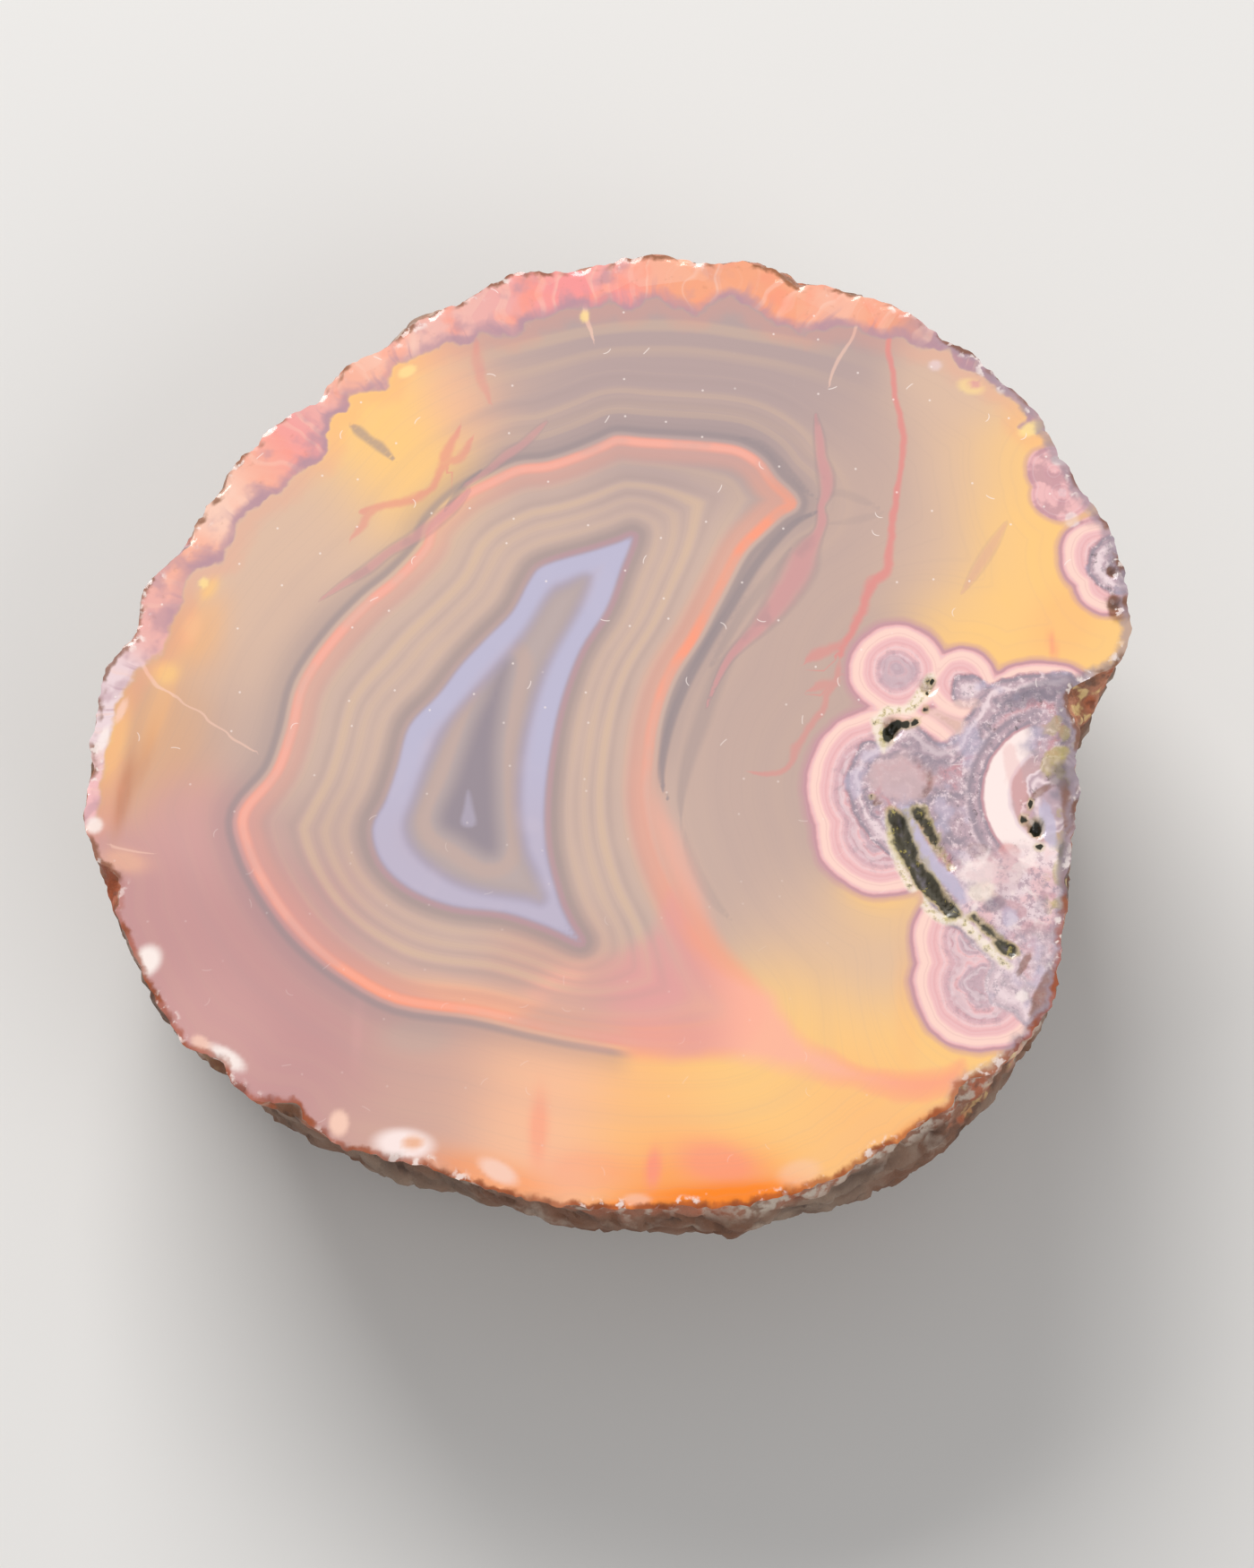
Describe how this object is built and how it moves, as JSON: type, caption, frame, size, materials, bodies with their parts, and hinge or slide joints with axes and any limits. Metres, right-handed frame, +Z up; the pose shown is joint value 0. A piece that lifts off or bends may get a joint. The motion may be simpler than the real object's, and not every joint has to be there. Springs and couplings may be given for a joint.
{
  "type": "agate slice",
  "caption": "Thick piece of a banded agate nodule: a flat polished face with nested bands and a lobed corner, a lumpy rind around it, and a sawn flat to stand on.",
  "frame": {"origin": "middle of the box's underside, on the sawn flat that the stone stands on", "axes": "+Z up, out of the polished face; -Y towards the viewer of the picture; +X to the viewer's right, where the lobed corner is"},
  "size_m": [0.0702, 0.0704, 0.022],
  "materials": {
    "agate": "polished banded stone with a dull natural rind"
  },
  "bodies": {
    "root": {"agate_slice": "agate"}
  },
  "joints": []
}
